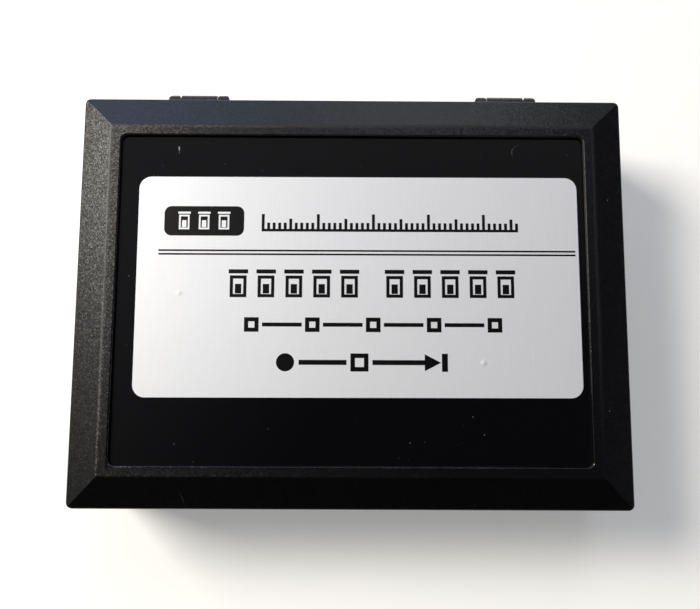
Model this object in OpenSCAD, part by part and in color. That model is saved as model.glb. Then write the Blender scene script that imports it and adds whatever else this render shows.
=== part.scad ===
// Hinged case for a pair of square glass cuvettes.
// Two moulded shells close on a lapped rim, turn on two steel pins and hold the cuvettes in foam.
// The origin is the centre of the base's underside: +Z is up, the front faces -Y, the hinges are at +Y.

/* [Case] */
// Width of the case at the parting line
case_w = 100; // [88:1:140]
// Depth of the case at the parting line, front to back
case_d = 75; // [62:1:110]
// Height of the base, from its underside to the parting line
base_h = 17.5; // [16:0.5:30]
// Height of the lid above the parting line
lid_h = 10.5; // [9:0.5:20]
// Radius of the upright corners
corner_r = 1.5; // [1.3:0.1:4]
// Thickness of the side walls
wall = 2; // [1.8:0.1:3]
// Thickness of the base's floor
floor_t = 2; // [1:0.1:3]
// Lean of the outer walls that lets the shells leave the mould, in degrees
draft = 0.5; // [0.25:0.25:2]
// Width of the bevel round the underside
base_bevel = 1.4; // [0.8:0.1:2]

/* [Lid face] */
// Width of the sloping frame, seen from above
bevel_run = 5.7; // [3:0.1:8]
// Height that the sloping frame drops over its width
bevel_drop = 2.2; // [1:0.2:3.4]
// Width of the flat land between the slope and the sunken panel
land_w = 2; // [1:0.25:3]
// Depth of the sunken panel below the land
panel_depth = 0.8; // [0.4:0.1:1.2]
// Corner radius of the sunken panel
panel_r = 1; // [0.6:0.1:2.5]
// Thickness of the lid under the sunken panel
panel_t = 2; // [1.2:0.1:2.6]

/* [Lapped rim] */
// Height of the base's lip above the parting line
lip_h = 1.6; // [1.2:0.1:2]
// Thickness of the lip
lip_t = 0.9; // [0.7:0.05:1]
// Gap between the lip and the lid's rebate, on each side
lip_gap = 0.2; // [0.1:0.05:0.3]
// Small bevel on both rims, which shows as the parting line
rim_break = 0.2; // [0.1:0.05:0.3]

/* [Front catch] */
// Length of the bead on the lip that snaps into the lid
catch_w = 16; // [8:1:30]
// How far the bead reaches into the lid's groove
catch_bite = 0.25; // [0.1:0.05:0.35]
// Height of the bead
catch_h = 1.1; // [0.8:0.1:1.2]
// Width of the thumb notch in the base's front wall
notch_w = 18; // [12:1:30]
// Height of the thumb notch
notch_h = 4; // [2:0.5:6]
// Depth of the thumb notch into the wall
notch_depth = 1; // [0.5:0.1:1.1]

/* [Hinges] */
// Distance from the case's side to the middle of the nearest hinge
hinge_inset = 20; // [10:0.5:30]
// Width of a whole hinge, over both ears
hinge_w = 11.8; // [9:0.2:16]
// Width of the lid's knuckle between the ears
knuckle_w = 7; // [4:0.1:7.4]
// Side gap between the knuckle and each ear
knuckle_gap = 0.2; // [0.1:0.05:0.3]
// Radius of the hinge barrels
barrel_r = 1.8; // [1.5:0.1:2.5]
// Gap between a barrel and the walls that it turns past
barrel_gap = 0.3; // [0.3:0.1:0.8]
// Height of the web that carries a barrel, along the wall
web_h = 3; // [2.4:0.2:6]
// Rounding of the ears' outer back corners, seen from above
ear_r = 1.3; // [0.5:0.1:1.4]
// Rounding of the ears' back corners next to the knuckle
ear_inner_r = 0.9; // [0.3:0.1:1]
// Diameter of the steel pins
pin_d = 1.5; // [1:0.1:2]
// Radial clearance of a pin in the lid's knuckle
pin_play = 0.05; // [0.02:0.01:0.1]
// Depth of a pin's end inside the ear's face
pin_inset = 0.2; // [0:0.1:0.6]

/* [Cuvettes] */
// Outside width of a square cuvette
cell_w = 12.5; // [11:0.1:13.5]
// Outside height of a cuvette
cell_h = 45; // [30:0.5:48]
// Light path, which is the inside width
cell_path = 10; // [5:0.5:10]
// Thickness of the cuvette's bottom
cell_floor = 1.5; // [1:0.1:3]
// Polished bevel on the cuvette's edges
cell_bevel = 0.3; // [0.1:0.1:0.6]
// Thickness of the cap's plate
cap_t = 2.2; // [1:0.1:3]
// Length of the cap's plug inside the cuvette
plug_h = 3; // [2:0.5:6]
// Gap between the plug and the cuvette's walls
plug_gap = 0.1; // [0.05:0.05:0.2]

/* [Foam] */
// Gap round the foam inside the shells
foam_gap = 0.6; // [0.5:0.1:0.9]
// How far the cuvettes stand above the slotted foam
cell_proud = 1; // [0:0.25:2]
// Gap round a cuvette and its cap in the slot
slot_gap = 0.3; // [0.1:0.1:0.6]
// Distance from the case's side to the middle of the nearest slot
slot_inset = 28; // [22:1:28]
// Diameter of the finger hole across each slot
finger_d = 28; // [20:1:30]
// Gap between the lid's foam and the cuvettes
press_gap = 0.3; // [0.1:0.1:0.5]
// Depth of the cuvettes' tops below the parting line
cell_sink = 0.5; // [0.2:0.1:1]

/* [Label] */
// Bare strip of the panel to the left of the label
label_left = 3.5; // [1:0.1:20]
// Bare strip of the panel to the right of the label
label_right = 1.2; // [1:0.1:20]
// Bare strip of the panel in front of the label
label_front = 11.8; // [1:0.1:16]
// Bare strip of the panel behind the label
label_back = 7.6; // [1:0.1:16]
// Thickness of the label
label_t = 0.15; // [0.1:0.05:0.3]
// Corner radius of the label
label_r = 2.2; // [0.6:0.2:5]
// Turn of the label, stuck on by hand, in degrees
label_turn = 0.15; // [-0.6:0.15:0.6]

/* [Hidden] */
$fn = 48;

LEFT = -1;
RIGHT = 1;
PLASTIC = [0.07, 0.07, 0.075];
STEEL = [0.72, 0.72, 0.74];
FOAM = [0.16, 0.16, 0.17];
QUARTZ = [0.85, 0.93, 0.96, 0.4];
PTFE = [0.94, 0.94, 0.92];
FOIL = [0.85, 0.85, 0.86];

// Cuts run this far past the faces that they open.
over = 1;

// Shells
inner_w = case_w - 2 * wall;
inner_d = case_d - 2 * wall;
inner_r = max(corner_r - wall, 0.5);
lid_top = base_h + lid_h;
panel_z = lid_top - panel_depth;
ceiling_z = panel_z - panel_t;
// Wall's place where the sloping frame starts, which is a little in from the parting line
slope_inset = (lid_h - bevel_drop) * tan(draft);
frame_w = slope_inset + bevel_run + land_w;
panel_w = case_w - 2 * frame_w;
panel_d = case_d - 2 * frame_w;
label_w = panel_w - label_left - label_right;
label_d = panel_d - label_front - label_back;
label_x = (label_left - label_right) / 2;
label_y = (label_front - label_back) / 2;

// Softened edges of the lid
ridge_r = 1.2;
brow_r = 0.4;
panel_edge_r = 0.35;
arc_steps = 6;

// Lapped rim
lip_inset = wall - lip_t;
rim_t = lip_inset - lip_gap;
lip_r = max(corner_r - lip_inset, 0.5);
rebate_r = max(corner_r - rim_t, 0.5);
rebate_h = lip_h + lip_gap;
lip_lead = 0.25;
// The catch's bead and groove are at half the height of the lip.
catch_z = base_h + lip_h / 2;
groove_gap = 0.1;

// Hinges
pin_r = pin_d / 2;
pin_seat = 0.01;
back_y = case_d / 2;
axis_y = back_y + barrel_gap + barrel_r;
axis_z = base_h;
hinge_x = case_w / 2 - hinge_inset;
ear_w = (hinge_w - knuckle_w) / 2 - knuckle_gap;
ear_x = (hinge_w - ear_w) / 2;
// On a narrow ear the two roundings leave a little of its back flat.
outer_round = min(ear_r, 0.59 * ear_w);
inner_round = min(ear_inner_r, 0.4 * ear_w);
knuckle_round = 0.3;

// Cuvettes and foam
cell_top = base_h - cell_sink;
cell_bottom = cell_top - cell_w;
foam_w = inner_w - 2 * foam_gap;
foam_d = inner_d - 2 * foam_gap;
foam_top = cell_top - cell_proud;
press_z = cell_top + press_gap;
packed_l = cell_h + cap_t;
slot_l = packed_l + 2 * slot_gap;
slot_w = cell_w + 2 * slot_gap;
slot_x = case_w / 2 - slot_inset;
// The cuvettes lie along Y, with the caps to the back.
cell_y = -packed_l / 2;
cell_mid = cell_bottom + cell_w / 2;

// Points on an arc about a centre, from one angle to another.
function arc(centre, r, from, to, steps = arc_steps) =
    [for (i = [0:steps]) let (a = from + (to - from) * i / steps) centre + r * [cos(a), sin(a)]];

// The point past b on the line from a, so that a cut leaves the solid at a clear angle.
function past(a, b, reach = over) = b + reach * (b - a) / norm(b - a);

// The nearest size whose half has no more than three decimals, so that pieces that meet at half of
// it leave no slit between them.
function even(size) = round(500 * size) / 500;

// A solid with rounded upright corners. side is its section from a corner's axis outwards,
// [distance from that axis, height], and bottom and top are the heights of its flat middle.
module swept_block(w, d, r, side, bottom, top) {
    straight_w = even(w - 2 * r);
    straight_d = even(d - 2 * r);
    translate([-straight_w / 2, -straight_d / 2, bottom]) cube([straight_w, straight_d, top - bottom]);
    for (turn = [0, 180]) rotate(turn) {
        translate([-straight_w / 2, straight_d / 2, 0])
            rotate([90, 0, 90]) linear_extrude(straight_w) polygon(side);
        translate([straight_w / 2, straight_d / 2, 0])
            rotate([90, 0, 0]) linear_extrude(straight_d) polygon(side);
        translate([straight_w / 2, straight_d / 2, 0]) rotate_extrude(angle = 90) polygon(side);
        translate([-straight_w / 2, straight_d / 2, 0])
            rotate(90) rotate_extrude(angle = 90) polygon(side);
    }
}

// A plain upright block with rounded corners.
module block(w, d, h, r) {
    swept_block(w, d, r, [[0, 0], [r, 0], [r, h], [0, h]], 0, h);
}

// Half of the section over a block whose top edge slopes: the flat top, a soft ridge, the slope,
// a soft brow, and then away from the wall. half is the block's half width at height 0.
function slope_section(half, h, run, drop, ridge, brow) =
    let (
        fall = atan(drop / run),
        edge = [half - (h - drop) * tan(draft), h - drop],
        crest = [edge[0] - run, h],
        turn = 90 - fall - draft,
        brow_centre = edge + brow * tan(turn / 2) * [-cos(fall), sin(fall)] - brow * [sin(fall), cos(fall)],
        ridge_centre = crest - [ridge * tan(fall / 2), ridge],
        brow_arc = arc(brow_centre, brow, 90 - fall, draft)
    )
    concat(
        arc(ridge_centre, ridge, 90, 90 - fall),
        [for (i = [0:arc_steps - 1]) brow_arc[i]],
        [past(brow_arc[arc_steps - 1], brow_arc[arc_steps])]
    );

// Everything under the sloping edges along one direction, as long as the block is.
module slope_cover(half, h, length, run, drop, ridge, brow) {
    section = slope_section(half, h, run, drop, ridge, brow);
    last = section[len(section) - 1];
    right = concat(section, [[half + over, last[1] - over], [half + over, -over]]);
    left = [for (i = [len(right) - 1:-1:0]) [-right[i][0], right[i][1]]];
    rotate([90, 0, 90]) translate([0, 0, -length / 2]) linear_extrude(length) polygon(concat(right, left));
}

// A moulded shell's outside, from its rim at height 0 to its sloped far face.
module shell_outside(h, run, drop, ridge, brow) {
    inset = h * tan(draft);
    side = [
        [0, 0], [corner_r - rim_break, 0], [corner_r, rim_break], [corner_r - inset, h], [0, h],
    ];
    intersection() {
        swept_block(case_w, case_d, corner_r, side, 0, h);
        slope_cover(case_d / 2, h, case_w + 2 * over, run, drop, ridge, brow);
        rotate(90) slope_cover(case_w / 2, h, case_d + 2 * over, run, drop, ridge, brow);
    }
}

// The panel's hollow in the lid, with a soft upper edge.
module panel_cut() {
    edge = arc([panel_r + panel_edge_r, lid_top - panel_edge_r], panel_edge_r, 180, 90);
    side = concat(
        [[0, panel_z], [panel_r, panel_z]],
        [for (i = [0:arc_steps - 1]) edge[i]],
        [past(edge[arc_steps - 1], edge[arc_steps], 0.5)],
        [[panel_r + panel_edge_r + 0.5, lid_top + over], [0, lid_top + over]]
    );
    swept_block(panel_w, panel_d, panel_r, side, panel_z, lid_top + over);
}

// Side view of a barrel and the web that carries it: [distance behind the axis, height].
// up is 1 for a web above the axis and -1 for one below it.
module barrel_side(up) {
    foot = axis_y - back_y;
    circle(barrel_r);
    polygon([
        [0, 0],
        [-foot - wall / 2, 0],
        [-foot - wall / 2, up * web_h],
        [-foot, up * web_h],
        0.95 * barrel_r * [cos(35), up * sin(35)],
    ]);
}

// The corner left over outside a quarter circle.
module corner_waste(r) {
    difference() {
        square(r + over);
        circle(r);
    }
}

// A barrel with its web, centred on the hinge. rounds are the radii of its left and right back
// corners, seen from above.
module barrel(width, up, rounds) {
    difference() {
        rotate([90, 0, 90]) translate([0, 0, -width / 2]) linear_extrude(width) barrel_side(up);
        for (flip = [0, 1]) mirror([1 - flip, 0, 0]) {
            r = rounds[flip];
            translate([width / 2 - r, barrel_r - r, -web_h - over])
                linear_extrude(2 * (web_h + over)) corner_waste(r);
        }
    }
}

module at_hinges() {
    for (side = [LEFT, RIGHT]) translate([side * hinge_x, axis_y, axis_z]) children();
}

// The base's two ears round one knuckle.
module ears() {
    translate([-ear_x, 0, 0]) barrel(ear_w, -1, [outer_round, inner_round]);
    translate([ear_x, 0, 0]) barrel(ear_w, -1, [inner_round, outer_round]);
}

module pin_bore(r) {
    rotate([0, 90, 0]) cylinder(h = hinge_w + 2 * over, r = r, center = true);
}

// The catch's ridge on the lip's front face. grow turns the bead into the groove that clears it.
module catch_ridge(grow) {
    reach = lip_gap + catch_bite + grow;
    foot = catch_h / 2 + grow;
    tip = catch_h / 8 + grow;
    translate([-catch_w / 2 - grow, -case_d / 2 + lip_inset, catch_z])
        rotate([90, 0, 90]) linear_extrude(catch_w + 2 * grow)
            polygon([[over, -foot], [over, foot], [0, foot], [-reach, tip], [-reach, -tip], [0, -foot]]);
}

module base_shell() {
    lip_top = wall + lip_h;
    lip_side = [[0, 0], [lip_r, 0], [lip_r, lip_top - lip_lead], [lip_r - lip_lead, lip_top], [0, lip_top]];
    color(PLASTIC) difference() {
        union() {
            difference() {
                translate([0, 0, base_h]) mirror([0, 0, 1])
                    shell_outside(base_h, base_bevel, base_bevel, base_bevel / 2, base_bevel / 2);
                thumb_notch();
            }
            translate([0, 0, base_h - wall])
                swept_block(case_w - 2 * lip_inset, case_d - 2 * lip_inset, lip_r, lip_side, 0, lip_top);
            catch_ridge(0);
            at_hinges() ears();
        }
        translate([0, 0, floor_t]) block(inner_w, inner_d, base_h + lip_h, inner_r);
        at_hinges() pin_bore(pin_r + pin_seat);
    }
}

// A crescent in the front wall under the parting line, where a thumb lifts the lid.
module thumb_notch() {
    bow = (pow(notch_w / 2, 2) + pow(notch_depth, 2)) / (2 * notch_depth);
    translate([0, -case_d / 2 + notch_depth - bow, base_h - notch_h])
        cylinder(h = notch_h + over, r = bow, $fn = 128);
}

module lid_shell() {
    color(PLASTIC) difference() {
        union() {
            translate([0, 0, base_h]) shell_outside(lid_h, bevel_run, bevel_drop, ridge_r, brow_r);
            at_hinges() barrel(knuckle_w, 1, [knuckle_round, knuckle_round]);
        }
        translate([0, 0, base_h - over]) block(inner_w, inner_d, ceiling_z - base_h + over, inner_r);
        translate([0, 0, base_h - over])
            block(case_w - 2 * rim_t, case_d - 2 * rim_t, rebate_h + over, rebate_r);
        catch_ridge(groove_gap);
        at_hinges() pin_bore(pin_r + pin_play);
        panel_cut();
    }
}

module hinge_pin(side) {
    length = hinge_w - 2 * pin_inset;
    tip = pin_r / 4;
    color(STEEL) translate([side * hinge_x, axis_y, axis_z]) rotate([0, 90, 0])
        rotate_extrude() polygon([
            [0, -length / 2], [pin_r - tip, -length / 2], [pin_r, -length / 2 + tip],
            [pin_r, length / 2 - tip], [pin_r - tip, length / 2], [0, length / 2],
        ]);
}

module foam_floor_pad() {
    color(FOAM) translate([-foam_w / 2, -foam_d / 2, floor_t]) cube([foam_w, foam_d, cell_bottom - floor_t]);
}

module foam_slot_block() {
    height = foam_top - cell_bottom;
    color(FOAM) translate([0, 0, cell_bottom]) difference() {
        translate([-foam_w / 2, -foam_d / 2, 0]) cube([foam_w, foam_d, height]);
        for (side = [LEFT, RIGHT]) translate([side * slot_x, 0, -over]) {
            translate([-slot_w / 2, -slot_l / 2, 0]) cube([slot_w, slot_l, height + 2 * over]);
            cylinder(h = height + 2 * over, d = finger_d, $fn = 96);
        }
    }
}

module foam_lid_pad() {
    color(FOAM) translate([-foam_w / 2, -foam_d / 2, press_z]) cube([foam_w, foam_d, ceiling_z - press_z]);
}

// A square with its corners bevelled.
module bevelled_square(w, bevel) {
    a = w / 2;
    b = a - bevel;
    polygon([[a, b], [b, a], [-b, a], [-a, b], [-a, -b], [-b, -a], [b, -a], [a, -b]]);
}

// Lays what stands on the origin down along +Y, in its slot.
module in_slot(side) {
    translate([side * slot_x, cell_y, cell_mid]) rotate([-90, 0, 0]) children();
}

module cuvette(side) {
    color(QUARTZ) in_slot(side) difference() {
        linear_extrude(cell_h) bevelled_square(cell_w, cell_bevel);
        translate([0, 0, cell_floor]) linear_extrude(cell_h) square(cell_path, center = true);
    }
}

module cuvette_cap(side) {
    plug_w = cell_path - 2 * plug_gap;
    color(PTFE) in_slot(side) {
        translate([0, 0, cell_h]) linear_extrude(cap_t) bevelled_square(cell_w, 2 * cell_bevel);
        translate([0, 0, cell_h - plug_h])
            linear_extrude(plug_h + cap_t / 2) bevelled_square(plug_w, cell_bevel);
    }
}

module label() {
    color(FOIL) translate([label_x, label_y, panel_z]) rotate(label_turn) difference() {
        translate([-label_w / 2, -label_d / 2, 0]) cube([label_w, label_d, label_t]);
        for (flip_x = [0, 1], flip_y = [0, 1]) mirror([flip_x, 0, 0]) mirror([0, flip_y, 0])
            translate([label_w / 2 - label_r, label_d / 2 - label_r, -over])
                linear_extrude(label_t + 2 * over) corner_waste(label_r);
    }
}

base_shell();
lid_shell();
hinge_pin(LEFT);  // hinge_pin_left
hinge_pin(RIGHT);  // hinge_pin_right
foam_floor_pad();
foam_slot_block();
foam_lid_pad();
cuvette(LEFT);  // cuvette_left
cuvette(RIGHT);  // cuvette_right
cuvette_cap(LEFT);  // cuvette_cap_left
cuvette_cap(RIGHT);  // cuvette_cap_right
label();
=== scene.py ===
import math

import bmesh
import bpy
from mathutils import Matrix, Vector, noise


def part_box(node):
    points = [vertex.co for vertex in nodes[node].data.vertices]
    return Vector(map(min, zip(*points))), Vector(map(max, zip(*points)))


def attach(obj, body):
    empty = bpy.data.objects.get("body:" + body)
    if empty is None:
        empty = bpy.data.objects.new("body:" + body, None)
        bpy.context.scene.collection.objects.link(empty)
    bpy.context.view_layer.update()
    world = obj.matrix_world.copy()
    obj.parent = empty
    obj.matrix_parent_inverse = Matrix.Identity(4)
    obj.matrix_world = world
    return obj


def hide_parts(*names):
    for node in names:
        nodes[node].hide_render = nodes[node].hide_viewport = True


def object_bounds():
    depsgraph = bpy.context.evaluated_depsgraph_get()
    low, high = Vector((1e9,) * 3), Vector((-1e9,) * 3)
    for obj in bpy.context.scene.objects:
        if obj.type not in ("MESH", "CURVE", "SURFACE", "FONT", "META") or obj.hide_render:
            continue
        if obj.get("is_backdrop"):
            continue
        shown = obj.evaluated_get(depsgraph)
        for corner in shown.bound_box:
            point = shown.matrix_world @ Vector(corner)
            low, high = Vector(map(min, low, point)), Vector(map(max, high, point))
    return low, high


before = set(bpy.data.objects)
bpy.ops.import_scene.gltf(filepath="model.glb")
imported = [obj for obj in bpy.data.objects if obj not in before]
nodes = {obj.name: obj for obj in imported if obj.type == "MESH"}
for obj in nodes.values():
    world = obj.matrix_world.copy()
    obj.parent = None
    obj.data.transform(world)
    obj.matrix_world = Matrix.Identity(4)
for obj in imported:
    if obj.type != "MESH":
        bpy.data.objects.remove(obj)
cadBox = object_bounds()
scene = bpy.context.scene
mm = 0.001  # every size below is in millimetres until it is multiplied by this
weld = 0.001 * mm  # points nearer than this become one
print("frame loaded with", len(nodes), "moulded and bought-in pieces")


# helpers


def toLinear(hexColour):  # "#rrggbb" as a colour picker shows it, to the linear values of shaders
    parts = [int(hexColour[i : i + 2], 16) / 255 for i in (1, 3, 5)]
    return [p / 12.92 if p <= 0.04045 else ((p + 0.055) / 1.055) ** 2.4 for p in parts] + [1]


def addNode(tree, kind, inputs=None, **settings):  # inputs given sockets are linked, others set
    node = tree.nodes.new(kind)
    for name, value in settings.items():
        setattr(node, name, value)
    for key, value in (inputs or {}).items():
        sources = value if isinstance(value, list) else [value]
        if isinstance(sources[0], bpy.types.NodeSocket):
            for source in sources:
                tree.links.new(source, node.inputs[key])
        else:
            node.inputs[key].default_value = value
    return node


def startMaterial(name, colour, **sockets):  # gives its tree, its shader and the Object coordinates
    material = bpy.data.materials.new(name)
    material.use_nodes = True
    tree = material.node_tree
    shader = tree.nodes["Principled BSDF"]
    shader.inputs["Base Color"].default_value = toLinear(colour)
    for socket, value in sockets.items():
        shader.inputs[socket.replace("_", " ")].default_value = value
    return material, tree, shader, addNode(tree, "ShaderNodeTexCoord").outputs["Object"]


def insideBox(tree, place, low, high):  # 1 where the surface lies between two corners, else 0
    middle = [(a + b) / 2 * mm for a, b in zip(low, high)]
    half = [(b - a) / 2 * mm for a, b in zip(low, high)]
    away = place
    for other, operation in ((middle, "SUBTRACT"), (None, "ABSOLUTE"), (half, "SUBTRACT")):
        inputs = {0: away, 1: other} if other else {0: away}
        away = addNode(tree, "ShaderNodeVectorMath", inputs, operation=operation).outputs[0]
    over = addNode(tree, "ShaderNodeSeparateXYZ", {0: away}).outputs
    most = addNode(tree, "ShaderNodeMath", {0: over[0], 1: over[1]}, operation="MAXIMUM").outputs[0]
    most = addNode(tree, "ShaderNodeMath", {0: most, 1: over[2]}, operation="MAXIMUM").outputs[0]
    return addNode(tree, "ShaderNodeMath", {0: most, 1: 0.0}, operation="LESS_THAN").outputs[0]


def alongFrame(tree, place, half, width):  # 1 on a rectangle round the middle, 0 from width on
    spot = addNode(tree, "ShaderNodeSeparateXYZ", {0: place}).outputs
    past = []
    for i in (0, 1):
        reach = addNode(tree, "ShaderNodeMath", {0: spot[i]}, operation="ABSOLUTE").outputs[0]
        inputs = {0: reach, 1: half[i] * mm}
        past.append(addNode(tree, "ShaderNodeMath", inputs, operation="SUBTRACT").outputs[0])
    off = addNode(tree, "ShaderNodeMath", {0: past[0], 1: past[1]}, operation="MAXIMUM").outputs[0]
    off = addNode(tree, "ShaderNodeMath", {0: off}, operation="ABSOLUTE").outputs[0]
    fade = {"Value": off, "From Max": width * mm, "To Min": 1.0, "To Max": 0.0}
    return addNode(tree, "ShaderNodeMapRange", fade).outputs[0]


def finishAs(piece, material):
    piece.data.materials.clear()
    piece.data.materials.append(material)


def addPiece(name, mesh, body, material=None):  # no material where the mesh has one already
    piece = bpy.data.objects.new(name, mesh)
    scene.collection.objects.link(piece)
    if material:
        finishAs(piece, material)
    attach(piece, body)
    return piece


def startTree(name, sizes):  # a Geometry Nodes tree with one named input for each size
    tree = bpy.data.node_groups.new(name, "GeometryNodeTree")
    tree.is_modifier = True
    kinds = {int: "NodeSocketInt", float: "NodeSocketFloat", tuple: "NodeSocketVector"}
    for label, value in sizes.items():
        tree.interface.new_socket(label, in_out="INPUT", socket_type=kinds[type(value)])
    tree.interface.new_socket("Geometry", in_out="OUTPUT", socket_type="NodeSocketGeometry")
    return tree, addNode(tree, "NodeGroupInput").outputs


def endTree(tree, geometry, material):  # instances are made real, and the finish goes on last
    real = addNode(tree, "GeometryNodeRealizeInstances", {0: geometry}).outputs[0]
    done = addNode(tree, "GeometryNodeSetMaterial", {"Geometry": real, "Material": material})
    addNode(tree, "NodeGroupOutput", {0: done.outputs[0]})


def growMesh(tree, sizes):  # runs the tree on an empty object and gives a plain mesh
    host = bpy.data.objects.new("host", bpy.data.meshes.new("host"))
    modifier = host.modifiers.new("grow", "NODES")
    modifier.node_group = tree
    for item in tree.interface.items_tree:
        if item.in_out == "INPUT":
            modifier[item.identifier] = sizes[item.name]
    scene.collection.objects.link(host)
    grown = host.evaluated_get(bpy.context.evaluated_depsgraph_get())
    mesh = bpy.data.meshes.new_from_object(grown)
    bpy.data.objects.remove(host)
    return mesh


def towards(polar, compass):  # the way to a place, in degrees from straight up and from +X
    p, c = math.radians(polar), math.radians(compass)
    return Vector((math.sin(p) * math.cos(c), math.sin(p) * math.sin(c), math.cos(p)))


# camera

cameraSettings = {
    "place": (-1.042, -19.814, 168.218),  # mm
    "turn": (7.4734, -0.33756, 0.27736),  # degrees
    "lens": 40.803,  # mm
    "sensor": 36,  # mm wide
    "nearest": 5,  # mm, nothing closer is drawn
}

camera = bpy.data.objects.new("camera", bpy.data.cameras.new("camera"))
scene.collection.objects.link(camera)
camera.location = Vector(cameraSettings["place"]) * mm
camera.rotation_euler = [math.radians(a) for a in cameraSettings["turn"]]
camera.data.lens = cameraSettings["lens"]
camera.data.sensor_width = cameraSettings["sensor"]
camera.data.clip_start = cameraSettings["nearest"] * mm
scene.camera = camera
scene.view_settings.view_transform = "Standard"


# paper sweep

sweepSettings = {
    "flat": 1300,  # mm, radius of the flat part
    "bend": 250,  # mm, radius of the curve up to the rim
    "rim": 330,  # mm above the floor
    "drop": 0.02,  # mm that it lies below the case
    "steps": 8,  # along the flat part, and along the bend
    "sides": 96,
    "paper": "#f1f1ef",
    "glow": 0.34,  # light that the lit paper gives back from beyond the lamps' reach
    "fibres": 700.0,  # a metre, 1.4 mm each
    "fibreDepth": 0.05,  # mm
}

flat, bend, drop = (sweepSettings[key] for key in ("flat", "bend", "drop"))
steps, sides = sweepSettings["steps"], sweepSettings["sides"]
profile = [(flat * i / steps, 0) for i in range(1, steps + 1)]
for i in range(1, steps + 1):
    a = math.pi / 2 * i / steps
    profile.append((flat + bend * math.sin(a), bend * (1 - math.cos(a))))
profile.append((profile[-1][0], sweepSettings["rim"]))
build = bmesh.new()
hub = build.verts.new((0, 0, -drop * mm))
rings = []
for radius, height in profile:
    ring = []
    for k in range(sides):
        a = 2 * math.pi * k / sides
        spot = (radius * mm * math.cos(a), radius * mm * math.sin(a), (height - drop) * mm)
        ring.append(build.verts.new(spot))
    rings.append(ring)
for k in range(sides):
    after = (k + 1) % sides
    build.faces.new((hub, rings[0][k], rings[0][after]))
    for inner, outer in zip(rings, rings[1:]):
        build.faces.new((inner[k], outer[k], outer[after], inner[after]))
for face in build.faces:
    face.smooth = True
sweepMesh = bpy.data.meshes.new("paperSweep")
build.to_mesh(sweepMesh)
paperSweep = bpy.data.objects.new("paperSweep", sweepMesh)
scene.collection.objects.link(paperSweep)

# uncoated background paper: dead matt, so it shows no lamp, with a faint fibre mottle
paper, tree, shader, place = startMaterial("backgroundPaper", sweepSettings["paper"], Roughness=0.9)
shader.inputs["Emission Color"].default_value = toLinear(sweepSettings["paper"])
shader.inputs["Emission Strength"].default_value = sweepSettings["glow"]
mottle = {"Vector": place, "Scale": sweepSettings["fibres"], "Detail": 3.0}
fibre = addNode(tree, "ShaderNodeTexNoise", mottle).outputs[0]
relief = {"Height": fibre, "Strength": 0.2, "Distance": sweepSettings["fibreDepth"] * mm}
bump = addNode(tree, "ShaderNodeBump", relief)
tree.links.new(bump.outputs[0], shader.inputs["Normal"])
finishAs(paperSweep, paper)
paperSweep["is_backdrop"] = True


# lamps, and the dim room that the gloss shows

lightSettings = {
    # name: degrees from straight up, compass degrees from +X, then distance, width and height
    # in mm, watts and colour
    "windowLight": (44.3, 153, 800, 300, 300, 6.6, "#fffaf0"),
    "skyLight": (64, 110, 850, 300, 220, 0.52, "#bcd4ff"),
    "backLight": (62, 84, 850, 300, 220, 0.35, "#f4f8ff"),
    "topLight": (34.5, 80, 850, 260, 200, 0.54, "#dfe2fa"),
}

for name, (polar, compass, distance, width, height, watts, colour) in lightSettings.items():
    light = bpy.data.lights.new(name, "AREA")
    light.shape = "RECTANGLE"
    light.size, light.size_y = width * mm, height * mm
    light.energy = watts
    light.color = toLinear(colour)[:3]
    lamp = bpy.data.objects.new(name, light)
    scene.collection.objects.link(lamp)
    aim = towards(polar, compass)
    lamp.location = aim * distance * mm
    lamp.rotation_mode = "QUATERNION"
    lamp.rotation_quaternion = aim.to_track_quat("Z", "Y")
    lamp.visible_camera = False

roomSettings = {
    "overhead": "#0c0d10",
    "windowSide": (46, 150),  # degrees from straight up, and compass degrees, of the lit end
    "layers": (
        # colour, the way towards it, and where along that it starts and is full
        ("#6c6d6f", "Y", 0.05, 0.35),  # back wall
        ("#1e2024", "Y", 0.55, 0.85),  # dark window in it
        ("#545868", "X", 0.27, 0.42),  # ceiling on the right
        ("#282a33", "X", 0.5, 0.75),  # right wall
        ("#7f8083", "window", 0.7, 1.0),  # lit end
        ("#050506", "Y", -0.25, -0.55),  # front wall
        ("#242a3a", "Z", 0.30, 0.10),  # low down all round
    ),
    "backdrop": "#eceded",  # what the camera sees beyond the sweep
}

world = bpy.data.worlds.new("studioAir")
scene.world = world
world.use_nodes = True
tree = world.node_tree
sky = addNode(tree, "ShaderNodeTexCoord").outputs["Generated"]
axes = addNode(tree, "ShaderNodeSeparateXYZ", {0: sky}).outputs
inputs = {0: sky, 1: towards(*roomSettings["windowSide"])}
facing = addNode(tree, "ShaderNodeVectorMath", inputs, operation="DOT_PRODUCT").outputs["Value"]
ways = {"X": axes[0], "Y": axes[1], "Z": axes[2], "window": facing}
room = toLinear(roomSettings["overhead"])
for colour, way, start, full in roomSettings["layers"]:
    spread = {"Value": ways[way], "From Min": start, "From Max": full}
    share = addNode(tree, "ShaderNodeMapRange", spread, interpolation_type="SMOOTHSTEP").outputs[0]
    blend = {0: share, 6: room, 7: toLinear(colour)}
    room = addNode(tree, "ShaderNodeMix", blend, data_type="RGBA").outputs[2]
direct = addNode(tree, "ShaderNodeLightPath").outputs["Is Camera Ray"]
blend = {0: direct, 6: room, 7: toLinear(roomSettings["backdrop"])}
seen = addNode(tree, "ShaderNodeMix", blend, data_type="RGBA").outputs[2]
tree.links.new(seen, tree.nodes["Background"].inputs["Color"])
print("camera, paper sweep and", len(lightSettings), "lights are up")


# the two moulded shells, one tool finish for both

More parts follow.
